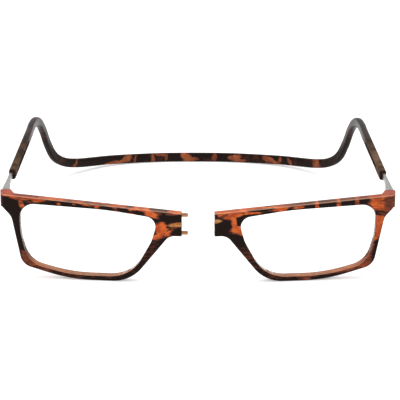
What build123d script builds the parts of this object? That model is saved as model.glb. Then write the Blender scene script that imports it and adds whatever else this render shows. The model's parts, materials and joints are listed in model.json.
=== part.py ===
from build123d import *
import os
from math import asin, cos, degrees, radians, sin, sqrt, tan

# Reading glasses that part at the nose. Two front halves snap together there with magnets and pins,
# and one springy headband runs behind the head instead of two loose temples.
# Lengths are in millimetres and angles in degrees. X runs to the right as seen from the front,
# Y runs from the front to the back of the head, and Z points up from the table.
# Each half is drawn snapped shut, with its snapping face on the middle plane, the front's middle
# at the face on Y = 0 and the table on Z = 0. The rest pose then swings both halves open about
# the upright axis at the middle of the back.

# Front half, seen from the front, measured from the snapping face and the table
lens_inset = 8.6
lens_width = 51.9
lens_height = 27.2
rim_bottom = 2.1
rim_side = 3.1
brow = 3.3
end_width = 7.3
end_drop = 4.2
waist_drop = 8.7
bridge_drop = 5.3
bridge_height = 9.0
bridge_length = 4.6
front_depth = 3.6
wrap_angle = 4.0
front_edge_round = 0.7
end_face_round = 2.4
opening_edge_round = 0.3

# Outline of the lens opening as corners in its box: across share, up share, and the share of the
# corner's shorter side that its rounding takes
opening_shares = [
    (0.0, 0.842, 0.475),
    (0.37, 0.94, 0.27),
    (1.0, 1.0, 0.48),
    (0.995, 0.551, 0.315),
    (0.941, 0.156, 0.47),
    (0.637, 0.0, 0.48),
    (0.198, 0.0, 0.51),
    (0.052, 0.504, 0.17),
]
# Corners of the rim's outer line, as shares of the side and bottom rim beyond the opening's corners
toe_corner_share = (0.8, 0.53)
heel_corner_share = (0.08, 1.0)
# Radii of the outer line
end_top_radius = 1.0
end_bottom_radius = 3.0
waist_radius = 5.0
toe_radius = 5.5
sole_radius = 60.0
heel_radius = 14.0
bridge_root_radius = 4.5

# Lens, held by a wedge round its edge in a groove of the rim
groove_depth = 0.45
wedge_root = 0.2
lens_clearance = 0.05
lens_thickness = 2.0
lens_curve_radius = 400.0

# Snapping faces
face_clearance = 0.05
pin_diameter = 1.5
pin_spacing = 6.9
pin_reach = 2.2
pin_seat = 3.5
pin_nose_chamfer = 0.2
pin_hole_clearance = 0.08
pin_hole_spare = 0.4
magnet_diameter = 2.6
magnet_length = 5.5
magnet_recess = 0.15
seat_clearance = 0.02

# End block behind the outer end of each front, which carries the hinge
block_width = 4.3
block_height = 5.4
block_reach = 6.3
block_flare = 0.95
block_step = 0.4
block_round = 0.6

# Hinge
barrel_diameter = 3.0
barrel_inset = 0.5
barrel_gap = 0.3
arm_knuckle_height = 1.1
leaf_height = 1.4
knuckle_gap = 0.05
knuckle_relief = 0.25
hinge_drop = 2.9
leaf_width = 1.8
leaf_seat = 4.0
screw_diameter = 1.2
screw_clearance = 0.05
screw_head_diameter = 2.0
screw_head_height = 0.35
screw_slot_width = 0.3
screw_slot_depth = 0.18

# Metal arm that slides in the headband
arm_thickness = 1.1
arm_height = 2.2
arm_exposed = 22.0
arm_engaged = 30.0
arm_flare = 14.5
arm_tilt = 2.9
arm_tip_round = 0.4
slide_travel = 7.0
slide_clearance = 0.05
slot_spare = 1.0
stop_pin_diameter = 1.0
stop_pin_depth = 0.6
stop_pin_stand = 0.3
stop_from_tip = 17.0

# Headband
band_thickness = 2.8
band_height = 4.1
band_corner = 1.1
band_outer_wall = 0.5
band_tip_round = 0.6
temple_length = 53.0
head_depth = 167.6
rest_gap = 11.9
knuckle_clearance = 0.15
nose_ease = 0.03
seat_wrap = 60.0
band_stations = 34

# Centre line of the hook and the nape bend: shares of the temple's distance from the middle plane,
# of the depth behind the straight temple, and of the height between the nape and the temple's end
hook_shares = [
    (1.002, 0.125, 1.016),
    (0.997, 0.235, 1.006),
    (0.986, 0.325, 0.935),
    (0.974, 0.405, 0.78),
    (0.957, 0.49, 0.525),
    (0.925, 0.57, 0.285),
    (0.868, 0.648, 0.15),
    (0.79, 0.727, 0.083),
    (0.7, 0.808, 0.047),
    (0.6, 0.876, 0.026),
    (0.49, 0.924, 0.012),
    (0.37, 0.958, 0.005),
    (0.25, 0.981, 0.002),
    (0.125, 0.995, 0.0),
]

# How far every cut runs past what it cuts
overrun = 5.0

# Sizes that follow from those above
front_length = lens_inset + lens_width + end_width
front_top = rim_bottom + lens_height + brow
bridge_top = front_top - bridge_drop
bridge_bottom = bridge_top - bridge_height
lens_middle = (lens_inset + lens_width / 2, rim_bottom + lens_height / 2)
lock_height = bridge_bottom + bridge_height / 2
end_x = front_length * cos(radians(wrap_angle))
end_y = front_length * sin(radians(wrap_angle))
block_x = end_x + block_flare
block_y = end_y + block_reach
block_top = front_top - block_step
barrel_radius = barrel_diameter / 2
hinge_x = block_x - barrel_inset - barrel_radius
hinge_y = block_y + barrel_gap + barrel_radius
hinge_z = front_top - hinge_drop
hinge_height = leaf_height + 2 * (arm_knuckle_height + knuckle_gap)
arm_offset = barrel_radius - arm_thickness / 2
slot_width = arm_thickness + 2 * slide_clearance
slot_height = arm_height + 2 * slide_clearance
slot_offset = band_thickness / 2 - band_outer_wall - slot_width / 2
slot_length = arm_engaged + slide_travel + slot_spare
temple_x = hinge_x + arm_offset - slot_offset
spread_angle = degrees(asin(rest_gap / 2 / head_depth))

# Frame of the arm and the straight temple: its Z runs along the temple and its X points outward
temple_run = (0, cos(radians(arm_tilt)), sin(radians(arm_tilt)))
arm_plane = Plane(origin=(hinge_x, hinge_y, hinge_z), x_dir=(1, 0, 0), z_dir=temple_run)


def along_arm(distance, outward):
    """Plane across the arm's line at a distance behind the hinge, moved outward."""
    return Plane(arm_plane.from_local_coords((outward, 0, distance)), x_dir=(1, 0, 0), z_dir=temple_run)


temple_tip = along_arm(arm_exposed, temple_x - hinge_x)
temple_end = along_arm(arm_exposed + temple_length, temple_x - hinge_x)
nape = Vector(0, head_depth, band_height / 2)


def closed_face(corners):
    """Face inside a closed line of corners, each with its radius."""
    points = [(across, up) for across, up, radius in corners]
    radii = [radius for across, up, radius in corners]
    return make_face(FilletPolyline(*points, radius=radii, close=True))


def opening_corners():
    """Corners of the opening, each with the radius that its share of the shorter side gives."""
    points = [
        Vector(lens_inset + across * lens_width, rim_bottom + up * lens_height)
        for across, up, rounded in opening_shares
    ]
    corners = []
    for place, (across, up, rounded) in enumerate(opening_shares):
        arriving = points[place] - points[place - 1]
        leaving = points[place + 1 - len(points)] - points[place]
        taken = rounded * min(arriving.length, leaving.length)
        radius = taken / tan(radians(arriving.get_angle(leaving)) / 2)
        corners.append((points[place].X, points[place].Y, radius))
    return corners


def opening_face():
    return closed_face(opening_corners())


def outer_face():
    """Face inside the outer line of a front half, run past the snapping face."""
    corners = opening_corners()
    toe, sole, heel = corners[4], corners[5], corners[6]
    return closed_face([
        (-overrun, bridge_top - overrun * (front_top - bridge_top) / front_length, 0),
        (front_length, front_top, end_top_radius),
        (front_length, front_top - end_drop, end_bottom_radius),
        (lens_inset + lens_width + rim_side, front_top - waist_drop, waist_radius),
        (toe[0] + rim_side * toe_corner_share[0], toe[1] - rim_bottom * toe_corner_share[1], toe_radius),
        (sole[0], 0, sole_radius),
        (heel[0] + rim_side * heel_corner_share[0], heel[1] - rim_bottom * heel_corner_share[1], heel_radius),
        (bridge_length, bridge_bottom, bridge_root_radius),
        (-overrun, bridge_bottom, 0),
    ])


def upright(face, depth):
    """Plate of a depth about the front's middle plane."""
    return extrude(Plane.XZ * face, amount=depth / 2, both=True)


def wedge_halves(face, reach):
    """Front and back half of a wedge that stands out round a face's edge, sharp at the middle plane."""
    front = extrude(Plane.XZ * offset(face, amount=reach), amount=reach + wedge_root, taper=45)
    return front, mirror(front, about=Plane.XZ)


def wrapped(shape):
    """Turn a shape drawn in the half's own plane to its wrap about the snapping face."""
    return Rot(0, 0, wrap_angle) * shape


def face_edges(shape, axis, index):
    return shape.faces().sort_by(axis)[index].edges()


def rod(radius, length, start, direction):
    """Cylinder from a start point along a direction."""
    return Plane(origin=start, z_dir=direction) * Cylinder(
        radius, length, align=(Align.CENTER, Align.CENTER, Align.MIN)
    )


def plate_plan():
    """The front half's plate from above, run past the snapping face, its outer front corner round."""
    face_y, back_y = -front_depth / 2, front_depth / 2
    return closed_face([
        (-2 * overrun, face_y, 0),
        (front_length, face_y, end_face_round),
        (front_length, back_y, 0),
        (-2 * overrun, back_y, 0),
    ])


def rim_plate():
    """Front half without its end block: the rim and the bridge with the lens groove."""
    plate = upright(outer_face(), front_depth) & extrude(plate_plan(), amount=front_top)
    outline = plate.edges().filter_by(Axis.Y, reverse=True).filter_by(Axis.Z, reverse=True)
    plate = fillet(outline, front_edge_round)
    hole = upright(opening_face(), front_depth + overrun)
    plate -= hole
    front = plate.faces().sort_by(Axis.Y)[0].inner_wires()[0].edges()
    back = plate.faces().sort_by(Axis.Y)[-1].inner_wires()[0].edges()
    plate = fillet(front + back, opening_edge_round)
    for half in wedge_halves(opening_face(), groove_depth):
        plate -= half
    return plate


def end_block():
    """Block behind the end of the front that carries the hinge."""
    inner_x = block_x - block_width
    root_y = end_y + end_face_round - front_depth / 2
    plan = make_face(Polyline(
        (end_x, root_y),
        (block_x, block_y),
        (inner_x, block_y),
        (inner_x - block_width / 2, root_y),
        close=True,
    ))
    block = extrude(Pos(0, 0, block_top - block_height) * plan, amount=block_height)
    return fillet(block.edges(), block_round)


def leaf_tongue(spare):
    """Tongue of the hinge leaf, or the pocket that it sits in when spare is its clearance."""
    length = barrel_radius + barrel_gap + leaf_seat
    tongue = Box(
        leaf_width + 2 * spare, length + spare, leaf_height + 2 * spare,
        align=(Align.CENTER, Align.MAX, Align.CENTER),
    )
    return Pos(hinge_x, hinge_y, hinge_z) * tongue


def pin_heights():
    return lock_height + pin_spacing / 2, lock_height - pin_spacing / 2


def front_frame(bore_radius, bore_depth):
    """Right front half, with two bores in its snapping face."""
    frame = wrapped(rim_plate())
    beyond = Box(
        3 * overrun, front_depth + 2 * overrun, 2 * front_top,
        align=(Align.MAX, Align.CENTER, Align.CENTER),
    )
    frame -= Pos(face_clearance, 0, lock_height) * beyond
    frame += end_block()
    frame -= leaf_tongue(seat_clearance)
    for height in pin_heights():
        frame -= rod(bore_radius, bore_depth + face_clearance, (0, 0, height), (1, 0, 0))
    pocket = rod(
        magnet_diameter / 2 + seat_clearance, magnet_recess + magnet_length + seat_clearance + overrun,
        (-overrun, 0, lock_height), (1, 0, 0),
    )
    return frame - wrapped(pocket)


def lens():
    """Right lens: a shallow dish with the wedge round its edge."""
    outline = offset(opening_face(), amount=-lens_clearance)
    middle_x, middle_z = lens_middle
    rim_reach_squared = (lens_width / 2) ** 2 + (lens_height / 2) ** 2
    hollow = lens_curve_radius - sqrt(lens_curve_radius ** 2 - rim_reach_squared)
    centre = Pos(middle_x, lens_curve_radius - hollow / 2, middle_z)
    dish = centre * Sphere(lens_curve_radius + lens_thickness / 2)
    dish -= centre * Sphere(lens_curve_radius - lens_thickness / 2)
    body = upright(outline, front_depth + overrun) & dish
    for half in wedge_halves(outline, groove_depth):
        body += half
    return wrapped(body)


def magnet():
    """Right magnet, lying along its front half."""
    start = face_clearance + magnet_recess
    body = rod(magnet_diameter / 2, magnet_length - face_clearance, (start, 0, lock_height), (1, 0, 0))
    return wrapped(body)


def locating_pin(height):
    """Pin of the left half, drawn in the snapped pose, that reaches past the middle into the right half."""
    body = rod(pin_diameter / 2, pin_seat + pin_reach, (-pin_seat, 0, height), (1, 0, 0))
    return chamfer(face_edges(body, Axis.X, -1), pin_nose_chamfer)


def hinge_leaf():
    """Right leaf with the middle knuckle, fixed in the end block."""
    knuckle = Pos(hinge_x, hinge_y, hinge_z) * Cylinder(barrel_radius, leaf_height)
    bore = Pos(hinge_x, hinge_y, hinge_z) * Cylinder(screw_diameter / 2 + screw_clearance, hinge_height)
    return knuckle + leaf_tongue(0) - bore


def hinge_screw():
    """Screw through the three knuckles, with a driver slot in its head."""
    shank = Cylinder(screw_diameter / 2, hinge_height, align=(Align.CENTER, Align.CENTER, Align.CENTER))
    head = Pos(0, 0, hinge_height / 2) * Cylinder(
        screw_head_diameter / 2, screw_head_height, align=(Align.CENTER, Align.CENTER, Align.MIN)
    )
    top = hinge_height / 2 + screw_head_height
    slot = Pos(0, 0, top) * Box(screw_slot_width, screw_head_diameter, 2 * screw_slot_depth)
    return Pos(hinge_x, hinge_y, hinge_z) * (shank + head - slot)


def temple_arm():
    """Right metal arm: two knuckles, a fork that narrows on its inner side, and the sliding strip."""
    flare = loft([
        along_arm(0, 0) * Rectangle(barrel_diameter, hinge_height),
        along_arm(arm_flare, arm_offset) * Rectangle(arm_thickness, arm_height),
    ])
    strip = extrude(
        along_arm(arm_flare, arm_offset) * Rectangle(arm_thickness, arm_height),
        amount=arm_exposed + arm_engaged - arm_flare,
    )
    strip = fillet(face_edges(strip, Axis.Y, -1), arm_tip_round)
    axis = Pos(hinge_x, hinge_y, hinge_z)
    arm = axis * Cylinder(barrel_radius, hinge_height) + flare + strip
    arm -= axis * Cylinder(barrel_radius + knuckle_relief, leaf_height + 2 * knuckle_gap)
    arm -= axis * Cylinder(screw_diameter / 2 + screw_clearance, hinge_height + overrun)
    trim = Cylinder(barrel_diameter, overrun, align=(Align.CENTER, Align.CENTER, Align.MIN))
    arm -= axis * Pos(0, 0, hinge_height / 2) * trim
    arm -= axis * Pos(0, 0, -hinge_height / 2 - overrun) * trim
    seat = along_arm(arm_exposed + stop_from_tip, arm_offset - arm_thickness / 2)
    bore = rod(stop_pin_diameter / 2 + seat_clearance, stop_pin_depth + overrun, seat.origin, (1, 0, 0))
    return arm - Pos(-overrun, 0, 0) * bore


def arm_stop_pin():
    """Right pin that stands on the arm's inner side and runs in the headband's inner slot."""
    inner_wall = band_thickness - band_outer_wall - slot_width
    length = stop_pin_depth + slide_clearance + inner_wall + stop_pin_stand
    start = along_arm(arm_exposed + stop_from_tip, arm_offset - arm_thickness / 2 + stop_pin_depth).origin
    return rod(stop_pin_diameter / 2, length, start, (-1, 0, 0))


def band_route():
    """Centre line from the end of the straight temple over the ear and round to the middle of the nape."""
    start = temple_end.origin
    points = [start]
    for out, back, up in hook_shares:
        points.append(Vector(
            temple_x * out,
            start.Y + (head_depth - start.Y) * back,
            nape.Z + (start.Z - nape.Z) * up,
        ))
    points.append(nape)
    return Spline(*points, tangents=[temple_run, (-1, 0, 0)], tangent_scalars=[1, 1])


def band_section(plane):
    return plane * RectangleRounded(band_thickness, band_height, band_corner)


def band_half():
    """Right half of the headband, solid, up to the middle of the nape."""
    route = band_route()
    sections = []
    for station in range(band_stations + 1):
        share = station / band_stations
        run = route % share
        outward = run.cross(Vector(0, 0, 1))
        sections.append(band_section(Plane(route @ share, x_dir=outward, z_dir=run)))
    hook = loft(sections)
    temple = extrude(band_section(temple_tip), amount=temple_length)
    temple = fillet(face_edges(temple, Axis.Y, 0), band_tip_round)
    return temple + hook


def slotted(band):
    """Cut the arm's slot into the temple's end, and the stop pin's slot into its inner wall."""
    mouth = along_arm(arm_exposed - overrun, arm_offset) * Rectangle(slot_width, slot_height)
    band -= extrude(mouth, amount=slot_length + overrun)
    middle = arm_plane.from_local_coords((arm_offset, 0, arm_exposed + stop_from_tip))
    guide_plane = Plane(middle, x_dir=temple_run, z_dir=(-1, 0, 0))
    guide_width = stop_pin_diameter + 2 * slide_clearance
    guide = guide_plane * SlotOverall(2 * slide_travel + guide_width, guide_width)
    return band - extrude(guide, amount=band_thickness + overrun)


def headband_with_seat():
    """Right half of the headband, hollowed at the nape for the left half's round nose."""
    seat_radius = band_thickness / 2 + knuckle_clearance
    horn_x = seat_radius * cos(radians(seat_wrap))
    band = slotted(band_half())
    beyond = Box(
        band_height + overrun, band_thickness + 2 * overrun, band_height + 2 * overrun,
        align=(Align.MAX, Align.CENTER, Align.CENTER),
    )
    band -= Pos(nape) * Pos(horn_x, 0, 0) * beyond
    return band - Pos(nape) * Cylinder(seat_radius, band_height + overrun)


def headband_with_nose():
    """The other half of the headband, also drawn as the right one, with the round nose at the nape."""
    nose = Cylinder(band_thickness / 2 - nose_ease, band_height - 2 * nose_ease)
    nose = fillet(nose.edges().filter_by(GeomType.CIRCLE), band_corner - nose_ease)
    return slotted(band_half()) + Pos(nape) * nose


def swung(shape, angle):
    """Swing a shape about the upright axis at the nape."""
    return Pos(0, head_depth, 0) * Rot(0, 0, angle) * Pos(0, -head_depth, 0) * shape


def right_half():
    return {
        "headband_right": headband_with_seat(),
        "right_temple_arm": temple_arm(),
        "right_arm_stop_pin": arm_stop_pin(),
        "right_front_frame": front_frame(pin_diameter / 2 + pin_hole_clearance, pin_reach + pin_hole_spare),
        "right_lens": lens(),
        "right_bridge_magnet": magnet(),
        "right_hinge_leaf": hinge_leaf(),
        "right_hinge_screw": hinge_screw(),
    }


def left_half():
    upper, lower = pin_heights()
    drawn_right = {
        "headband_left": headband_with_nose(),
        "left_temple_arm": temple_arm(),
        "left_arm_stop_pin": arm_stop_pin(),
        "left_front_frame": front_frame(pin_diameter / 2 + seat_clearance, pin_seat + seat_clearance),
        "left_lens": lens(),
        "left_bridge_magnet": magnet(),
        "left_hinge_leaf": hinge_leaf(),
        "left_hinge_screw": hinge_screw(),
    }
    half = {name: mirror(shape, about=Plane.YZ) for name, shape in drawn_right.items()}
    half["upper_locating_pin"] = locating_pin(upper)
    half["lower_locating_pin"] = locating_pin(lower)
    return half


pieces = {name: swung(shape, spread_angle) for name, shape in right_half().items()}
pieces.update({name: swung(shape, -spread_angle) for name, shape in left_half().items()})

# The origin lies under the middle of the whole object, on the table
whole = Compound(children=[Compound(shape.solids()) for shape in pieces.values()]).bounding_box()
origin_y = (whole.min.Y + whole.max.Y) / 2
pieces = {name: Pos(0, -origin_y, 0) * shape for name, shape in pieces.items()}

os.makedirs("parts", exist_ok=True)
for name, shape in pieces.items():
    export_step(shape, f"parts/{name}.step")
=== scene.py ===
import bmesh
import bpy
import json
from math import atan2, ceil, cos, pi, radians, sin
from mathutils import Matrix, Vector


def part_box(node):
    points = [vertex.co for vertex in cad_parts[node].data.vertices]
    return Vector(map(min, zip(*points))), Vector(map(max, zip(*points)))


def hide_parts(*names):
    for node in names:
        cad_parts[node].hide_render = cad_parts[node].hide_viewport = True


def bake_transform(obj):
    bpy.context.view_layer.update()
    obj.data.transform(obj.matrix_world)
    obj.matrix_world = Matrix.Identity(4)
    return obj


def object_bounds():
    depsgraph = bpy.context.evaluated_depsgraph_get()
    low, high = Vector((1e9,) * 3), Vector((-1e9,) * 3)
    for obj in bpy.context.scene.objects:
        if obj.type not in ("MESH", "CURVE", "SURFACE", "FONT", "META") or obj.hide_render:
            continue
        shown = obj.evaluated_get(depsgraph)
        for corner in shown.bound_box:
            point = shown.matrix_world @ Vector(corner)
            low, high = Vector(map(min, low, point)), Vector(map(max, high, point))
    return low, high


# Reading glasses that part at the nose, with a springy headband behind the head.
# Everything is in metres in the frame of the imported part: X to the right, Y to the back, Z up.
# Left and right are the viewer's. Colours are linear.

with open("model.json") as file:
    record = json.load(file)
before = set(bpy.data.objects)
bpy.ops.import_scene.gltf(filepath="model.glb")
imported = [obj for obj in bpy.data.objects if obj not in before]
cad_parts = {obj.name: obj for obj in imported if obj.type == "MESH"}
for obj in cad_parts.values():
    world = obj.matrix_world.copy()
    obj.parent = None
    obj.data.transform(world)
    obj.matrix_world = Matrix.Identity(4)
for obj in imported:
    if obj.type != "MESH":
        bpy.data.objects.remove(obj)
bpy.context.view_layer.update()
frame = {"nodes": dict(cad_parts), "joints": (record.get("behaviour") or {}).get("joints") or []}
nodes = frame["nodes"]
joints = {joint["name"]: joint for joint in frame["joints"]}
mm = 0.001

# Headband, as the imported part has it
band_thickness = 2.8 * mm
band_height = 4.1 * mm
band_corner = 1.1 * mm
band_outer_wall = 0.5 * mm
band_tip_round = 0.6 * mm
arm_thickness = 1.1 * mm
arm_height = 2.2 * mm
arm_exposed = 22.0 * mm
arm_engaged = 30.0 * mm
barrel_radius = 1.5 * mm
slide_travel = 7.0 * mm
slide_clearance = 0.05 * mm
slot_spare = 1.0 * mm
guide_width = 1.1 * mm
guide_from_tip = 17.0 * mm
temple_length = 53.0 * mm
# Points of each half's centre line behind the straight temple, when shut: shares of the temple
# end's distance from the middle, of the way back to the nape, and of the height above the nape
hook_shares = [
    (1.002, 0.125, 1.016),
    (0.997, 0.235, 1.006),
    (0.986, 0.325, 0.935),
    (0.974, 0.405, 0.78),
    (0.957, 0.49, 0.525),
    (0.925, 0.57, 0.285),
    (0.868, 0.648, 0.15),
    (0.79, 0.727, 0.083),
    (0.7, 0.808, 0.047),
    (0.6, 0.876, 0.026),
    (0.49, 0.924, 0.012),
    (0.37, 0.958, 0.005),
    (0.25, 0.981, 0.002),
    (0.125, 0.995, 0.0),
]
# Groove round the stop pin's slot on each temple's inner side, which only this mesh has. Its
# painted shade, in near black, starts a little behind the temple's tip.
groove_from_tip = 25.5 * mm
groove_reach = 15.0 * mm
groove_width = 1.3 * mm
groove_depth = 0.45 * mm
groove_shade_from_tip = 2 * mm
# How finely the headband's mesh is divided, and from what angle in degrees its edges are sharp
band_step = 1.2 * mm
straight_steps = 40
corner_steps = 4
flat_steps = 2
arc_steps = 12
tip_ring_shares = (0.0, 0.25, 0.5, 0.75)
least_corner = 0.05 * mm
sharp_angle = 35
# How far the cutters stand out of what they cut, at the slot's mouth and elsewhere
mouth_spare = 5 * mm
cut_spare = 2 * mm

# Stains in the plastic of each front, as seen from the front, in millimetres: middle (across, up),
# reach (across, up), tilt down to the right in degrees, and darkness from 0, clear amber, to 1,
# black
left_stains = [
    ((-69.5, 24), (4.6, 5.8), 0, 1.0),
    ((-66.5, 15), (2.8, 9), -8, 1.0),
    ((-71.6, 32.5), (3.6, 1.0), 0, 0.22),
    ((-71.5, 29.8), (4.2, 1.8), 5, 0.97),
    ((-64, 32.3), (4.2, 0.6), 4, 0.95),
    ((-65.4, 30.9), (2.6, 0.35), 6, 0.25),
    ((-64.4, 30.0), (2.6, 0.5), 6, 0.75),
    ((-65.4, 28.8), (1.1, 1.8), -20, 0.25),
    ((-61.6, 29.6), (1.9, 0.6), 6, 0.72),
    ((-60.6, 31.0), (4.5, 0.5), 5, 0.2),
    ((-58.6, 30.2), (2.6, 0.8), 6, 0.08),
    ((-55.2, 29.2), (3.6, 0.9), 5, 1.0),
    ((-53.5, 31.2), (4.5, 0.5), 4, 0.12),
    ((-51.2, 29.4), (0.9, 0.5), 8, 0.06),
    ((-48.4, 29.1), (2.4, 1.0), 6, 0.97),
    ((-45.8, 29.5), (0.8, 0.4), 8, 0.1),
    ((-46, 30.8), (4.5, 0.4), 4, 0.15),
    ((-41.6, 28.4), (4.2, 1.1), 5, 1.0),
    ((-41, 29.3), (2.6, 0.25), 6, 0.3),
    ((-40, 30.4), (4.5, 0.4), 4, 0.6),
    ((-37.2, 28.7), (1.1, 0.5), 8, 0.12),
    ((-33.6, 28.0), (3.2, 1.1), 5, 1.0),
    ((-34, 29.9), (4.5, 0.4), 5, 0.5),
    ((-30.0, 28.1), (0.8, 0.55), 8, 0.5),
    ((-27.2, 27.6), (2.4, 1.0), 7, 1.0),
    ((-29, 29.6), (3.6, 0.4), 6, 0.3),
    ((-24.2, 27.9), (1.5, 0.6), 8, 0.1),
    ((-22.0, 27.0), (2.6, 0.5), 15, 0.9),
    ((-24.0, 26.3), (2.4, 0.35), 12, 0.25),
    ((-20.4, 28.2), (3.4, 0.6), 7, 0.06),
    ((-16.6, 26.4), (3.4, 1.1), 20, 0.04),
    ((-18.6, 25.4), (2.0, 0.5), 20, 0.8),
    ((-14.4, 26.9), (1.6, 0.4), 18, 0.3),
    ((-10.2, 25.2), (4.6, 1.3), 6, 1.0),
    ((-12.4, 27.4), (2.4, 0.5), 5, 0.85),
    ((-8.6, 28.4), (5.4, 0.6), 4, 0.5),
    ((-8, 22.6), (3.4, 1.5), 0, 0.6),
    ((-13.6, 21.2), (2.2, 2.8), 14, 0.0),
    ((-11, 19.4), (2.4, 1.0), -35, 0.05),
    ((-6.4, 20.2), (3.4, 1.5), -10, 1.0),
    ((-10.4, 22.2), (1.6, 0.4), -25, 0.85),
    ((-13.6, 15.6), (3.4, 1.6), -40, 1.0),
    ((-17.8, 12), (2.6, 5.6), 35, 0.7),
    ((-23.5, 5), (3.6, 3.2), -35, 0.86),
    ((-27, 1.4), (6, 1.7), 0, 1.0),
    ((-37, 1.2), (6, 1.6), 2, 0.8),
    ((-49, 2.4), (9, 1.6), 9, 0.68),
    ((-59.5, 5), (4.5, 2.4), 24, 0.48),
    ((-63.8, 6.8), (1.5, 4.6), -22, 0.48),
]
right_stains = [
    ((8.5, 27.9), (6.2, 1.1), 2, 0.12),
    ((5.2, 25.8), (1.3, 1.0), 40, 1.0),
    ((9.2, 26.2), (2.2, 0.5), -20, 0.4),
    ((7.4, 20.8), (4.6, 3.0), 0, 1.0),
    ((10.4, 22.8), (1.8, 2.2), -5, 1.0),
    ((13.4, 22.6), (0.9, 4.6), -2, 0.03),
    ((14.2, 26.4), (2.0, 0.9), -12, 0.1),
    ((16.2, 24.2), (1.2, 2.0), 30, 0.97),
    ((19.2, 26.0), (2.6, 0.4), -18, 0.9),
    ((20, 27.2), (4.2, 0.55), -8, 0.08),
    ((23.4, 28.0), (4.6, 0.55), -5, 0.88),
    ((25.9, 26.9), (2.9, 0.7), -4, 0.95),
    ((20, 29.0), (7, 0.4), -5, 0.15),
    ((31.2, 27.9), (2.4, 0.8), -28, 0.1),
    ((36.0, 27.7), (3.7, 0.6), -6, 1.0),
    ((37.4, 28.9), (2.4, 0.6), -6, 0.12),
    ((34, 29.8), (6, 0.35), -5, 0.3),
    ((41.3, 28.8), (2.2, 2.4), 0, 0.93),
    ((47.6, 29.2), (3.8, 2.2), -3, 1.0),
    ((55.2, 29.6), (3.6, 2.4), -3, 1.0),
    ((61.4, 29.7), (2.9, 2.2), 4, 0.97),
    ((52, 31.6), (13, 0.8), -4, 0.6),
    ((43.9, 28.9), (0.75, 1.7), 0, 0.12),
    ((52.0, 29.6), (0.9, 1.9), 0, 0.25),
    ((58.8, 30.0), (0.95, 1.9), 0, 0.3),
    ((66.8, 28.8), (4.0, 2.3), 0, 0.12),
    ((65.6, 26.9), (1.5, 0.7), 10, 0.25),
    ((67.6, 26.0), (3.2, 0.8), 6, 0.7),
    ((70, 32.0), (5.5, 1.3), 0, 0.28),
    ((72.4, 28.8), (3.4, 3.4), 0, 0.52),
    ((71, 25.4), (2.6, 1.2), -30, 0.5),
    ((67.7, 19.6), (1.7, 4.8), 7, 0.1),
    ((64.2, 25.4), (0.9, 3.4), -14, 0.8),
    ((66.6, 11.4), (1.5, 4.6), 12, 0.95),
    ((64.2, 11), (1.0, 4.6), 16, 0.4),
    ((62, 5.6), (3.6, 1.4), -38, 0.4),
    ((55, 4.0), (5, 0.8), -14, 0.35),
    ((55, 2.2), (5, 0.9), -12, 0.82),
    ((46, 2.2), (7.5, 0.7), -8, 0.5),
    ((46, 1.2), (5, 0.9), -8, 0.85),
    ((40.5, 1.2), (1.6, 0.9), 0, 0.4),
    ((36, 2.0), (4.6, 0.6), -2, 0.45),
    ((31, 0.9), (5.5, 1.2), -2, 0.82),
    ((26, 2.6), (3.5, 0.5), 12, 0.6),
    ((23.5, 3), (2.8, 2.3), 30, 0.8),
    ((18.5, 10.5), (2.7, 6.6), -34, 0.7),
    ((14, 16.8), (3.0, 2.2), 40, 1.0),
]
# Places where the gilt magnet shows through a clear patch, in the same way
left_window = ((-7.6, 22.9), (3.3, 0.8), -6)
right_window = ((6.2, 24.2), (2.4, 0.7), -6)
# The stains run through the plastic from front to back
stain_depth = 60 * mm
# Below this height the rims are an even brown, which fades out above it
rim_brown_height = 12 * mm
rim_brown_fade = 4 * mm
# Beyond this distance from the middle the fronts' tops are redder
outer_end_start = 56 * mm
outer_end_fade = 10 * mm
# Lighter patches round the back of the headband: middle (across, up from the centre line), reach
# (across, up), tilt and darkness, in the same way
band_stains = [
    ((-55, 2.2), (0.7, 3), 25, 0.5),
    ((-37.2, -0.5), (5.2, 1.0), -4, 0.12),
    ((-32.0, 0.6), (2.8, 1.5), -20, 0.25),
    ((-28.4, -0.2), (0.6, 2.4), 10, 0.4),
    ((-20.0, 0), (0.9, 2.2), -8, 0.35),
    ((-16.2, 1.5), (3.0, 0.6), 6, 0.4),
    ((-13.8, 0.2), (0.7, 1.8), 15, 0.4),
    ((-4.6, 0.6), (2.6, 1.5), 20, 0.2),
    ((-2.6, -0.9), (3.6, 0.9), -4, 0.2),
    ((8.8, 0.2), (0.9, 2.1), 6, 0.4),
    ((17.6, 0.5), (3.2, 1.2), -12, 0.2),
    ((19.2, -0.7), (3.6, 0.9), 4, 0.25),
    ((33.6, 0.6), (3.0, 1.3), 18, 0.25),
    ((36.6, -0.3), (3.2, 0.9), 24, 0.08),
    ((38.8, 1.1), (0.7, 1.3), 0, 0.12),
    ((42.8, 0.9), (0.7, 2.0), -22, 0.3),
    ((54.4, 2.2), (1.5, 4.5), 0, 0.38),
]
# From here forward the temples turn browner towards their tips
temple_brown_back = 12 * mm
temple_brown_front = -40 * mm
# The temples' tips are darker over this length
tip_dark_length = 2.0 * mm
# Painted shade: the arms turn dark between these distances behind the temples' tips, where the
# slots hide them
arm_shade_begin = 7.5 * mm
arm_shade_full = 9.5 * mm
# The temples turn from glossy at the back to dull at the front between these places
temple_dull_back = 10 * mm
temple_dull_front = -20 * mm

# Look of the materials. Scales of noise are in waves a metre. A ramp has a value's low and high end
# and, where these don't turn into 0 and 1, what they turn into.
grain_ramp = (0.3, 0.7)
hue_ramp = (0.4, 0.62)
brown_ramp = (0.15, 0.55)
black_ramp = (0.5, 0.88)
acetate_bump_depth = 0.02 * mm
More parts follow.
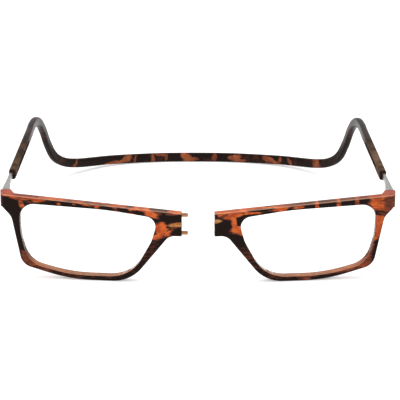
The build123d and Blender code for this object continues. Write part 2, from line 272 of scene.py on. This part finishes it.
# The fronts
shell_warp_scale = 420.0
shell_warp_amount = 0.65 * mm
shell_fleck_scale = 210.0
shell_fleck_stretch = (0.6, 1.0, 1.25)
shell_fleck_ramp = (0.4, 0.56)
low_fleck_ramp = (0.35, 0.6, 0.38, 0.84)
shell_streak_scale = 900.0
shell_streak_stretch = (0.35, 1.0, 1.6)
shell_streak_middle = 0.42
shell_streak_gain = 1.15
shell_hue_scale = 300.0
shell_stain_softness = 0.4
window_softness = 0.3
window_ramp = (0.4, 0.6)
# Painted light on the walls: the share of their darkness they keep, up high and on the low rims
wall_ramp = (0.35, 0.75, 1.0, 0.0)
painted_light_wall_darkness, painted_light_low_wall_darkness = 0.85, 0.58
# Painted light on faces that look up: how far they turn tan, up high and on the low rims
painted_top_light_ramp = (0.15, 0.8)
painted_top_light_share, painted_low_top_light_share = 0.12, 0.55
outer_top_ramp = (0.3, 0.8, 0.0, 0.6)
# Painted shade on faces that look to the sides
painted_side_shade_ramp = (0.5, 0.9, 0.0, 0.7)
# Painted highlight on the rounded edge between the fronts' top and front faces
highlight_up_ramp = (0.3, 0.6)
highlight_back_ramp = (-0.6, -0.3, 0.4, 0.0)
shell_grain_scale = 1600.0
shell_roughness = (0.12, 0.2)
shell_bump = 0.1
shell_specular = 0.06
# The headband
band_warp_scale = 330.0
band_warp_amount = 2.2 * mm
band_fleck_scale = 150.0
band_fleck_ramp = (0.36, 0.58, 0.76, 1.0)
band_streak_scale = 420.0
band_streak_stretch = (1.0, 1.0, 0.35)
band_streak_middle = 0.5
band_streak_gain = 1.4
band_hue_scale = 140.0
band_stain_softness = 0.35
temple_brown_ramp = (0.4, 0.62, 0.95, 0.25)
lighter_side_ramp = (-1 * mm, 1 * mm, 0.6, 1.0)
tip_darkness = 0.8
band_grain_scale = 1500.0
band_roughness = (0.22, 0.34)
temple_dullness = 0.4
band_bump = 0.2
band_specular = 0.07
# The metals
metal_line_scale = 1500.0
metal_shade = 0.72
# Painted shade on the metal's faces that look neither up nor down
metal_side_shade = 0.4
metal_side_shade_ramp = (0.1, 0.7, 0.45, 0.0)
metal_roughness_spread = 0.12
metal_bump_depth = 0.01 * mm
metal_bump = 0.35
# Painted shade on the arms inside the temples' slots
arm_slot_shade = 0.93
# The lenses
lens_ripple_scale = 60.0
lens_roughness = (0.0, 0.02)
lens_ior = 1.03

# Camera, at the photograph's angle
camera_elevation = radians(16.9)
camera_azimuth = radians(-0.44)
camera_roll = radians(0.25)
camera_distance = 630 * mm
camera_lens = 153.6
sensor_width = 36.0
camera_near = 0.01
camera_far = 100.0
aim = Vector((0.68, -79.87, 30.89)) * mm

# Floor and light. The world's white light falls on surfaces, but reflections show its grey.
floor_size = 20.0
floor_dark = (0.78, 0.78, 0.78, 1)
floor_light = (0.8, 0.8, 0.8, 1)
floor_grain_scale = 40.0
floor_roughness = 0.9
floor_lift = 0.35
white = (1, 1, 1, 1)
world_grey = (0.8, 0.8, 0.8, 1)
world_strength = 0.55
# Lamps aimed at the frame's origin: name, place, width and length, and power in watts
lamps = [
    ("top", (0.0, 0.1, 1.1), (1.2, 0.8), 8.0),
    ("key", (-0.7, -0.8, 0.9), (0.7, 0.7), 7.0),
    ("fill", (0.9, -0.7, 0.6), (0.7, 0.7), 4.0),
]


# Headband mesh

hinge_place = Vector(joints["right_front_hinge"]["pos_m"])
nape = Vector(joints["headband_flex"]["pos_m"])
temple_run = -Vector(joints["right_arm_slide"]["axis"])
spread = atan2(-temple_run.x, temple_run.y)
# Turns a place of the shut headband's right half to where it is at rest
swing = Matrix.Translation(nape) @ Matrix.Rotation(spread, 4, "Z") @ Matrix.Translation(-nape)
outward = Vector((cos(spread), sin(spread), 0))
slot_width = arm_thickness + 2 * slide_clearance
slot_height = arm_height + 2 * slide_clearance
arm_offset = barrel_radius - arm_thickness / 2
slot_offset = band_thickness / 2 - band_outer_wall - slot_width / 2
slot_length = arm_engaged + slide_travel + slot_spare
arm_start = hinge_place + outward * arm_offset
tip = hinge_place + temple_run * arm_exposed + outward * (arm_offset - slot_offset)
temple_end = tip + temple_run * temple_length
temple_up = outward.cross(temple_run).normalized()
# From the arm's middle plane to the temple's inner face
inner_face = slot_offset + band_thickness / 2


def route_points():
    """Points of the right half's centre line behind the straight temple, up to the nape."""
    start = swing.inverted() @ temple_end
    points = [temple_end]
    for out, back, up in hook_shares:
        shut = Vector((
            start.x * out,
            start.y + (nape.y - start.y) * back,
            nape.z + (start.z - nape.z) * up,
        ))
        points.append(swing @ shut)
    return points


def smooth_line(points, start_run, end_run, step):
    """Points at most a step apart on a smooth curve through the points."""
    runs = [start_run]
    for before, after in zip(points, points[2:]):
        runs.append((after - before).normalized())
    runs.append(end_run)
    line = []
    for place in range(len(points) - 1):
        a, b = points[place], points[place + 1]
        reach = (b - a).length
        count = ceil(reach / step)
        for index in range(count):
            t = index / count
            line.append(
                a * (2 * t ** 3 - 3 * t ** 2 + 1)
                + runs[place] * reach * (t ** 3 - 2 * t ** 2 + t)
                + b * (3 * t ** 2 - 2 * t ** 3)
                + runs[place + 1] * reach * (t ** 3 - t ** 2)
            )
    line.append(points[-1])
    return line


def mirrored(point):
    return Vector((-point.x, point.y, point.z))


def band_centre_line():
    """Centre line from the right temple's tip round the nape to the left temple's tip."""
    right = route_points()
    left = [mirrored(point) for point in reversed(right)]
    bend = smooth_line(right + [nape] + left, temple_run, mirrored(-temple_run), band_step)
    straight = [tip.lerp(temple_end, index / straight_steps) for index in range(straight_steps)]
    return straight + bend + [mirrored(point) for point in reversed(straight)]


def section_points(shrink):
    """Rounded rectangle about the centre line, as offsets outward and up."""
    wide, tall = band_thickness / 2 - shrink, band_height / 2 - shrink
    corner = max(band_corner - shrink, least_corner)
    offsets = []
    for quarter, (side, top) in enumerate([(1, 1), (-1, 1), (-1, -1), (1, -1)]):
        for step in range(corner_steps + 1):
            angle = pi / 2 * (quarter + step / corner_steps)
            offsets.append((
                side * (wide - corner) + corner * cos(angle),
                top * (tall - corner) + corner * sin(angle),
            ))
    filled = []
    for place, (x, z) in enumerate(offsets):
        filled.append((x, z))
        if place % (corner_steps + 1) == corner_steps:
            next_x, next_z = offsets[(place + 1) % len(offsets)]
            for step in range(1, flat_steps + 1):
                share = step / (flat_steps + 1)
                filled.append((x + (next_x - x) * share, z + (next_z - z) * share))
    return filled


def ring(bm, centre, run, shrink):
    """Section across the run, as new points of the mesh."""
    side = run.cross(Vector((0, 0, 1))).normalized()
    top = side.cross(run).normalized()
    return [bm.verts.new(centre + side * x + top * z) for x, z in section_points(shrink)]


def tip_ring(bm, end, run, inward, share):
    """Ring of a rounded tip, from its flat face at share 0 towards the full section at 1."""
    angle = share * pi / 2
    depth = band_tip_round * (1 - cos(angle))
    return ring(bm, end + run * (inward * depth), run, band_tip_round * (1 - sin(angle)))


def joined(bm, before, after):
    """Faces between two rings."""
    count = len(before)
    for place in range(count):
        other = (place + 1) % count
        bm.faces.new((before[place], before[other], after[other], after[place]))


def new_object(name, bm):
    mesh = bpy.data.meshes.new(name)
    bm.to_mesh(mesh)
    bm.free()
    made = bpy.data.objects.new(name, mesh)
    bpy.context.scene.collection.objects.link(made)
    return made


def swept_band(line):
    """The headband's section swept along a line, with rounded tips."""
    bm = bmesh.new()
    last = len(line) - 1
    runs = [(line[min(i + 1, last)] - line[max(i - 1, 0)]).normalized() for i in range(last + 1)]
    rings = [tip_ring(bm, line[0], runs[0], 1, share) for share in tip_ring_shares]
    rings += [ring(bm, line[i], runs[i], 0) for i in range(1, last)]
    rings += [tip_ring(bm, line[-1], runs[-1], -1, share) for share in reversed(tip_ring_shares)]
    for before, after in zip(rings, rings[1:]):
        joined(bm, before, after)
    bm.faces.new(rings[0][::-1])
    bm.faces.new(rings[-1])
    bmesh.ops.recalc_face_normals(bm, faces=bm.faces)
    return new_object("headband", bm)


def prism(outline, shift):
    """Solid between an outline and its copy moved by a shift."""
    count = len(outline)
    bm = bmesh.new()
    verts = [bm.verts.new(point) for point in outline]
    verts += [bm.verts.new(point + shift) for point in outline]
    bm.faces.new(verts[:count][::-1])
    bm.faces.new(verts[count:])
    for i in range(count):
        other = (i + 1) % count
        bm.faces.new((verts[i], verts[other], verts[other + count], verts[i + count]))
    bmesh.ops.recalc_face_normals(bm, faces=bm.faces)
    return new_object("cutter", bm)


def long_outline(from_tip, reach, width):
    """Round-ended outline along the arm's middle plane, with its middle behind the tip."""
    middle = arm_start + temple_run * (arm_exposed + from_tip)
    outline = []
    for end, start_angle in ((1, -pi / 2), (-1, pi / 2)):
        for step in range(arc_steps + 1):
            angle = start_angle + pi * step / arc_steps
            outline.append(
                middle + temple_run * (end * reach + width / 2 * cos(angle))
                + temple_up * (width / 2 * sin(angle))
            )
    return outline


def slot_cutters(side):
    """A temple's cutters: the arm's slot, the stop pin's slot and the groove round the latter."""
    flip = (lambda point: point) if side > 0 else mirrored
    mouth = arm_start + temple_run * (arm_exposed - mouth_spare)
    half_wide, half_tall = outward * (slot_width / 2), temple_up * (slot_height / 2)
    corners = [
        mouth + half_wide + half_tall, mouth - half_wide + half_tall,
        mouth - half_wide - half_tall, mouth + half_wide - half_tall,
    ]
    slot = prism([flip(c) for c in corners], flip(temple_run * (slot_length + mouth_spare)))
    outline = long_outline(guide_from_tip, slide_travel, guide_width)
    guide = prism([flip(c) for c in outline], flip(outward * -(band_thickness + cut_spare)))
    to_floor = -outward * (inner_face - groove_depth)
    outline = long_outline(groove_from_tip, groove_reach, groove_width)
    groove = prism([flip(c + to_floor) for c in outline], flip(outward * -cut_spare))
    return [slot, guide, groove]


def carved(piece, cutters):
    """The piece with the cutters taken out of its mesh."""
    for tool in cutters:
        cut = piece.modifiers.new("cut", "BOOLEAN")
        cut.operation, cut.solver, cut.object = "DIFFERENCE", "EXACT", tool
    bpy.context.view_layer.update()
    graph = bpy.context.evaluated_depsgraph_get()
    mesh = bpy.data.meshes.new_from_object(piece.evaluated_get(graph))
    piece.modifiers.clear()
    piece.data = mesh
    for tool in cutters:
        bpy.data.objects.remove(tool)
    return piece


def shaded(piece, angle):
    """Smooth faces with sharp edges over an angle."""
    mesh = piece.data
    mesh.shade_smooth()
    mesh.set_sharp_from_angle(angle=radians(angle))


def mark_places(piece):
    """Store each point's place at rest, which its material follows when the band bends."""
    places = piece.data.attributes.new("rest_place", "FLOAT_VECTOR", "POINT")
    for value, vertex in zip(places.data, piece.data.vertices):
        value.vector = vertex.co


def mark_groove_shade(piece):
    """Store where the temples' inner grooves and slots are, which the material darkens as painted
    shade.
    """
    marks = piece.data.attributes.new("groove", "FLOAT", "POINT")
    for mark, vertex in zip(marks.data, piece.data.vertices):
        away = Vector((abs(vertex.co.x), vertex.co.y, vertex.co.z)) - arm_start
        level = abs(away.dot(temple_up)) < groove_width
        behind = away.dot(temple_run) > arm_exposed + groove_shade_from_tip
        inside = groove_depth / 2 < away.dot(outward) + inner_face < inner_face
        mark.value = 1.0 if level and behind and inside else 0.0


band = carved(swept_band(band_centre_line()), slot_cutters(1) + slot_cutters(-1))
shaded(band, sharp_angle)
mark_places(band)
mark_groove_shade(band)


# Node helpers

class Tree:
    """A material's node tree, with one method for each kind of step."""

    def __init__(self, name):
        self.material = bpy.data.materials.new(name)
        self.material.use_nodes = True
        self.nodes = self.material.node_tree.nodes
        self.links = self.material.node_tree.links
        self.shader = self.nodes["Principled BSDF"]
        self.output = self.nodes["Material Output"]

    def put(self, socket, value):
        """Link another socket to a socket, or set it to a plain value."""
        if isinstance(value, bpy.types.NodeSocket):
            self.links.new(value, socket)
        else:
            socket.default_value = value

    def make(self, kind, **settings):
        node = self.nodes.new(kind)
        for key, value in settings.items():
            setattr(node, key, value)
        return node

    def place(self):
        return self.make("ShaderNodeTexCoord").outputs["Object"]

    def attribute(self, name, output):
        return self.make("ShaderNodeAttribute", attribute_name=name).outputs[output]

    def parts(self, vector):
        """A vector's parts to the right, to the back and up."""
        node = self.make("ShaderNodeSeparateXYZ")
        self.put(node.inputs[0], vector)
        return node.outputs

    def facing(self):
        """How far the surface faces right, back and up."""
        return self.parts(self.make("ShaderNodeTexCoord").outputs["Normal"])

    def scaled(self, vector, factors):
        node = self.make("ShaderNodeVectorMath", operation="MULTIPLY")
        self.put(node.inputs[0], vector)
        self.put(node.inputs[1], factors)
        return node.outputs[0]

    def noise(self, vector, scale, detail=3.0, rough=0.55):
        """A noise texture's value and colour."""
        node = self.make("ShaderNodeTexNoise")
        self.put(node.inputs["Vector"], vector)
        self.put(node.inputs["Scale"], scale)
        self.put(node.inputs["Detail"], detail)
        self.put(node.inputs["Roughness"], rough)
        return node.outputs

    def math(self, operation, a, b=0.0):
        node = self.make("ShaderNodeMath", operation=operation)
        self.put(node.inputs[0], a)
        self.put(node.inputs[1], b)
        return node.outputs[0]

    def times(self, a, b):
        return self.math("MULTIPLY", a, b)

    def ramp(self, value, low, high, start=0.0, end=1.0):
        """Smooth step of a value from start at low to end at high."""
        node = self.make("ShaderNodeMapRange", interpolation_type="SMOOTHSTEP")
        self.put(node.inputs["Value"], value)
        self.put(node.inputs["From Min"], low)
        self.put(node.inputs["From Max"], high)
        self.put(node.inputs["To Min"], start)
        self.put(node.inputs["To Max"], end)
        return node.outputs["Result"]

    def mixed(self, factor, a, b):
        """Mix of two numbers."""
        node = self.make("ShaderNodeMix", data_type="FLOAT")
        for socket, value in zip((node.inputs[0], node.inputs[2], node.inputs[3]), (factor, a, b)):
            self.put(socket, value)
        return node.outputs[0]

    def tint(self, factor, a, b):
        """Mix of two colours."""
        node = self.make("ShaderNodeMix", data_type="RGBA")
        for socket, value in zip((node.inputs[0], node.inputs[6], node.inputs[7]), (factor, a, b)):
            self.put(socket, value)
        return node.outputs[2]

    def shift(self, vector, colour, amount):
        """A place moved by a noise texture's colour about its middle."""
        low = self.make("ShaderNodeVectorMath", operation="SUBTRACT")
        self.put(low.inputs[0], colour)
        self.put(low.inputs[1], (0.5, 0.5, 0.5))
        node = self.make("ShaderNodeVectorMath", operation="MULTIPLY_ADD")
        self.put(node.inputs[0], low.outputs[0])
        self.put(node.inputs[1], (amount, amount, amount))
        self.put(node.inputs[2], vector)
        return node.outputs[0]

    def stain(self, vector, middle, row, soft):
        """1 inside a soft-edged stain, 0 outside. Its row in a table places it about a middle."""
        (across, up), (wide, tall), tilt = row
        node = self.make("ShaderNodeMapping", vector_type="TEXTURE")
        self.put(node.inputs["Vector"], vector)
        centre = (middle.x + across * mm, middle.y, middle.z + up * mm)
        self.put(node.inputs["Location"], centre)
        self.put(node.inputs["Rotation"], (0.0, radians(tilt), 0.0))
        self.put(node.inputs["Scale"], (wide * mm, stain_depth, tall * mm))
        length = self.make("ShaderNodeVectorMath", operation="LENGTH")
        self.put(length.inputs[0], node.outputs[0])
        return self.ramp(length.outputs["Value"], 1 - soft, 1 + soft, 1.0, 0.0)

    def bump(self, height, distance, strength):
        node = self.make("ShaderNodeBump")
        self.put(node.inputs["Height"], height)
        self.put(node.inputs["Distance"], distance)
        self.put(node.inputs["Strength"], strength)
        self.links.new(node.outputs[0], self.shader.inputs["Normal"])

    def set(self, **values):
        """Set the shader's inputs, and return the finished material."""
        for key, value in values.items():
            self.put(self.shader.inputs[key.replace("_", " ")], value)
        return self.material


amber = (0.58, 0.117, 0.026, 1)
orange = (0.38, 0.057, 0.012, 1)
red_brown = (0.13, 0.034, 0.018, 1)
end_red = (0.28, 0.028, 0.008, 1)
# Tan of the painted light on faces that look up
painted_top_light_tan = (0.46, 0.165, 0.05, 1)
# Brown of the painted shade on faces that look to the sides
painted_side_shade_brown = (0.1, 0.028, 0.02, 1)
# Colour of the painted highlight along the fronts' top front edges
painted_edge_highlight = (0.7, 0.4, 0.3, 1)
near_black = (0.01, 0.0045, 0.003, 1)
clear_brown = (0.3, 0.085, 0.028, 1)
warm_brown = (0.2, 0.05, 0.02, 1)
temple_brown = (0.15, 0.085, 0.048, 1)
gilt_light = (0.52, 0.24, 0.085, 1)
gilt_dark = (0.3, 0.1, 0.025, 1)
silver_colour = (0.52, 0.51, 0.49, 1)
brass_colour = (0.55, 0.27, 0.13, 1)
gilt_colour = (0.75, 0.5, 0.2, 1)
lens_colour = (0.99, 1, 0.99, 1)


def darker(colour, share):
    return tuple(part * share for part in colour[:3]) + (1,)


def acetate_colour(tree, place, dark, hue_scale, clear, warm):
    """Colour of tortoiseshell plastic for a darkness from 0 to 1."""
    hue = tree.noise(place, hue_scale, detail=2.0, rough=0.5)
    light = tree.tint(tree.ramp(hue[0], *hue_ramp), clear, warm)
    middle = tree.tint(tree.ramp(dark, *brown_ramp), light, red_brown)
    return tree.tint(tree.ramp(dark, *black_ramp), middle, near_black)


def streaky_shade(tree, streaks, middle, gain):
    """Darkness to add for streaks about their middle value."""
    return tree.times(tree.math("SUBTRACT", streaks, middle), gain)


def shell(name, stains, window):
    """Tortoiseshell plastic of one front half."""
    tree = Tree(name)
    place = tree.place()
    warp = tree.noise(place, shell_warp_scale, detail=2.0)
    bent = tree.shift(place, warp["Color"], shell_warp_amount)
    flecks = tree.noise(tree.scaled(bent, shell_fleck_stretch), shell_fleck_scale)[0]
    bent_across, _, bent_up = tree.parts(bent)
    low = tree.ramp(bent_up, rim_brown_height, rim_brown_height + rim_brown_fade, 1.0, 0.0)
    dark = tree.mixed(
        low, tree.ramp(flecks, *shell_fleck_ramp), tree.ramp(flecks, *low_fleck_ramp)
    )
    middle_y = sum(corner.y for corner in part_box(f"{name}_front_frame")) / 2
    middle = Vector((0, middle_y, 0))
    for *row, darkness in stains:
        inside = tree.stain(bent, middle, row, shell_stain_softness)
        dark = tree.mixed(inside, dark, darkness)
    right, back, up = tree.facing()
    # Painted light: the walls are painted lighter, as if lit through the thin plastic at its edges
    wall = tree.ramp(tree.math("ABSOLUTE", back), *wall_ramp)
    painted_wall_light = tree.times(dark, tree.mixed(low, painted_light_wall_darkness, painted_light_low_wall_darkness))
    dark = tree.mixed(wall, dark, painted_wall_light)
    streaks = tree.noise(tree.scaled(place, shell_streak_stretch), shell_streak_scale)[0]
    shade = streaky_shade(tree, streaks, shell_streak_middle, shell_streak_gain)
    dark = tree.math("ADD", dark, shade)
    colour = acetate_colour(tree, place, dark, shell_hue_scale, amber, orange)
    # Painted light: faces that look up are painted paler, towards tan
    pale = tree.mixed(low, painted_top_light_share, painted_low_top_light_share)
    colour = tree.tint(tree.times(tree.ramp(up, *painted_top_light_ramp), pale), colour, painted_top_light_tan)
    from_middle = tree.math("ABSOLUTE", bent_across)
    outer = tree.ramp(from_middle, outer_end_start, outer_end_start + outer_end_fade)
    colour = tree.tint(tree.times(outer, tree.ramp(up, *outer_top_ramp)), colour, end_red)
    # Painted shade: faces that look to the sides are painted a darker brown
    painted_side_shade = tree.ramp(tree.math("ABSOLUTE", right), *painted_side_shade_ramp)
    colour = tree.tint(painted_side_shade, colour, painted_side_shade_brown)
    # Painted highlight along the rounded top front edge
    rounded = tree.times(tree.ramp(up, *highlight_up_ramp), tree.ramp(back, *highlight_back_ramp))
    colour = tree.tint(rounded, colour, painted_edge_highlight)
    clear = tree.stain(bent, middle, window, window_softness)
    gilt_tone = tree.tint(tree.ramp(streaks, *window_ramp), gilt_dark, gilt_light)
    colour = tree.tint(clear, colour, gilt_tone)
    fine = tree.noise(place, shell_grain_scale)[0]
    rough = tree.ramp(fine, *grain_ramp, *shell_roughness)
    tree.bump(fine, acetate_bump_depth, shell_bump)
    return tree.set(Base_Color=colour, Roughness=rough, Specular_IOR_Level=shell_specular)


def band_plastic():
    """Dark mottled plastic of the headband."""
    tree = Tree("headband_acetate")
    place = tree.attribute("rest_place", "Vector")
    warp = tree.noise(place, band_warp_scale, rough=0.6)
    bent = tree.shift(place, warp["Color"], band_warp_amount)
    flecks = tree.noise(place, band_fleck_scale, detail=4.0, rough=0.6)[0]
    dark = tree.ramp(flecks, *band_fleck_ramp)
    streaks = tree.noise(tree.scaled(bent, band_streak_stretch), band_streak_scale)[0]
    shade = streaky_shade(tree, streaks, band_streak_middle, band_streak_gain)
    middle = Vector((0, nape.y, nape.z))
    for *row, darkness in band_stains:
        inside = tree.stain(bent, middle, row, band_stain_softness)
        dark = tree.mixed(inside, dark, tree.math("ADD", shade, darkness))
    colour = acetate_colour(tree, place, dark, band_hue_scale, clear_brown, warm_brown)
    across, along, _ = tree.parts(place)
    front = tree.ramp(along, temple_brown_front, temple_brown_back, 1.0, 0.0)
    browned = tree.times(front, tree.ramp(flecks, *temple_brown_ramp))
    browned = tree.times(browned, tree.ramp(across, *lighter_side_ramp))
    colour = tree.tint(browned, colour, temple_brown)
    end = tree.ramp(along, tip.y, tip.y + tip_dark_length, tip_darkness, 0.0)
    colour = tree.tint(end, colour, near_black)
    # Painted shade: the temples' inner grooves and slots are painted near black
    colour = tree.tint(tree.attribute("groove", "Fac"), colour, near_black)
    fine = tree.noise(place, band_grain_scale)[0]
    polish = tree.ramp(fine, *grain_ramp, *band_roughness)
    dull = tree.ramp(along, temple_dull_front, temple_dull_back, temple_dullness, 0.0)
    rough = tree.math("ADD", polish, dull)
    tree.bump(fine, acetate_bump_depth, band_bump)
    return tree.set(Base_Color=colour, Roughness=rough, Specular_IOR_Level=band_specular)


def metal(name, colour, rough, stretch):
    """Drawn metal with fine lines along its length, painted shade on its sides and inside the
    temples.
    """
    tree = Tree(name)
    place = tree.place()
    lines = tree.noise(tree.scaled(place, stretch), metal_line_scale, detail=4.0, rough=0.6)[0]
    tone = tree.tint(tree.ramp(lines, *grain_ramp), darker(colour, metal_shade), colour)
    # Painted shade: faces that look neither up nor down are painted darker
    sides = tree.ramp(tree.math("ABSOLUTE", tree.facing()[2]), *metal_side_shade_ramp)
    tone = tree.tint(sides, tone, darker(colour, metal_side_shade))
    along = tree.parts(place)[1]
    # Painted shade: the arms are painted near black where they lie inside the slots
    shade_from, shade_to = tip.y + arm_shade_begin, tip.y + arm_shade_full
    tone = tree.tint(tree.ramp(along, shade_from, shade_to, 0.0, arm_slot_shade), tone, near_black)
    tree.bump(lines, metal_bump_depth, metal_bump)
    roughness = tree.ramp(lines, *grain_ramp, rough, rough + metal_roughness_spread)
    return tree.set(Base_Color=tone, Metallic=1.0, Roughness=roughness)


def clear_lens():
    """Thin clear plastic that hardly bends light."""
    tree = Tree("clear_lens")
    ripple = tree.noise(tree.place(), lens_ripple_scale, detail=1.0)[0]
    rough = tree.ramp(ripple, *grain_ramp, *lens_roughness)
    return tree.set(
        Base_Color=lens_colour, Transmission_Weight=1.0, Roughness=rough, IOR=lens_ior
    )


def dress(node, material):
    """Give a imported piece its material."""
    piece = nodes[node]
    piece.data.materials.clear()
    piece.data.materials.append(material)


silver = metal("nickel_silver", silver_colour, rough=0.22, stretch=(4.0, 0.3, 4.0))
brass = metal("brass_pin", brass_colour, rough=0.25, stretch=(0.4, 3.0, 3.0))
gilt = metal("gilt_magnet", gilt_colour, rough=0.25, stretch=(3.0, 0.5, 3.0))
glass = clear_lens()
stains = {"left": (left_stains, left_window), "right": (right_stains, right_window)}
for side in ("left", "right"):
    dress(f"{side}_front_frame", shell(side, *stains[side]))
    dress(f"{side}_lens", glass)
    dress(f"{side}_bridge_magnet", gilt)
    for part in ("temple_arm", "arm_stop_pin", "hinge_screw", "hinge_leaf"):
        dress(f"{side}_{part}", silver)
for pin in ("upper_locating_pin", "lower_locating_pin"):
    dress(pin, brass)
band.data.materials.append(band_plastic())
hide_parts("headband_right", "headband_left")
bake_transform(band)


# Floor, light and camera

def floor_material():
    """Matt white, lifted where the camera and reflections see it, with the object's shadow kept."""
    tree = Tree("floor")
    grain = tree.noise(tree.place(), floor_grain_scale)[0]
    tree.set(Base_Color=tree.tint(grain, floor_dark, floor_light), Roughness=floor_roughness)
    path = tree.make("ShaderNodeLightPath").outputs
    bounced = tree.math("MAXIMUM", path["Is Glossy Ray"], path["Is Transmission Ray"])
    seen = tree.math("MAXIMUM", path["Is Camera Ray"], bounced)
    lift = tree.make("ShaderNodeEmission")
    tree.put(lift.inputs["Color"], white)
    tree.put(lift.inputs["Strength"], tree.times(seen, floor_lift))
    both = tree.make("ShaderNodeAddShader")
    tree.links.new(tree.shader.outputs[0], both.inputs[0])
    tree.links.new(lift.outputs[0], both.inputs[1])
    tree.links.new(both.outputs[0], tree.output.inputs["Surface"])
    return tree.material


def studio_world():
    """White light for surfaces, with a plain grey where reflections miss the floor."""
    world = bpy.data.worlds.new("studio")
    world.use_nodes = True
    bpy.context.scene.world = world
    world_nodes = world.node_tree.nodes
    links = world.node_tree.links
    light = world_nodes["Background"]
    light.inputs["Color"].default_value = white
    light.inputs["Strength"].default_value = world_strength
    grey = world_nodes.new("ShaderNodeBackground")
    grey.inputs["Color"].default_value = world_grey
    grey.inputs["Strength"].default_value = 1.0
    path = world_nodes.new("ShaderNodeLightPath")
    pick = world_nodes.new("ShaderNodeMixShader")
    links.new(path.outputs["Is Diffuse Ray"], pick.inputs[0])
    links.new(grey.outputs[0], pick.inputs[1])
    links.new(light.outputs[0], pick.inputs[2])
    links.new(pick.outputs[0], world_nodes["World Output"].inputs["Surface"])


def soft_lamp(name, place, size, power):
    """Area lamp that reflections don't show."""
    data = bpy.data.lights.new(name, "AREA")
    data.shape, data.size, data.size_y, data.energy = "RECTANGLE", size[0], size[1], power
    lamp = bpy.data.objects.new(name, data)
    lamp.location = place
    lamp.rotation_euler = (-Vector(place)).to_track_quat("-Z", "Y").to_euler()
    lamp.visible_glossy = False
    bpy.context.scene.collection.objects.link(lamp)


floor_mesh = bmesh.new()
bmesh.ops.create_grid(floor_mesh, x_segments=2, y_segments=2, size=floor_size)
floor = new_object("floor", floor_mesh)
floor.location.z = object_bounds()[0].z
floor.data.materials.append(floor_material())
studio_world()
for lamp in lamps:
    soft_lamp(*lamp)

camera_data = bpy.data.cameras.new("camera")
camera_data.lens, camera_data.sensor_width = camera_lens, sensor_width
camera_data.clip_start, camera_data.clip_end = camera_near, camera_far
camera = bpy.data.objects.new("camera", camera_data)
level = Vector((sin(camera_azimuth), -cos(camera_azimuth), 0))
back = level * cos(camera_elevation) + Vector((0, 0, sin(camera_elevation)))
camera.location = aim + back * camera_distance
facing = (-back).to_track_quat("-Z", "Y").to_matrix()
camera.rotation_euler = (Matrix.Rotation(camera_roll, 3, back) @ facing).to_euler()
bpy.context.scene.collection.objects.link(camera)
bpy.context.scene.camera = camera
bpy.context.scene.view_settings.view_transform = "Standard"
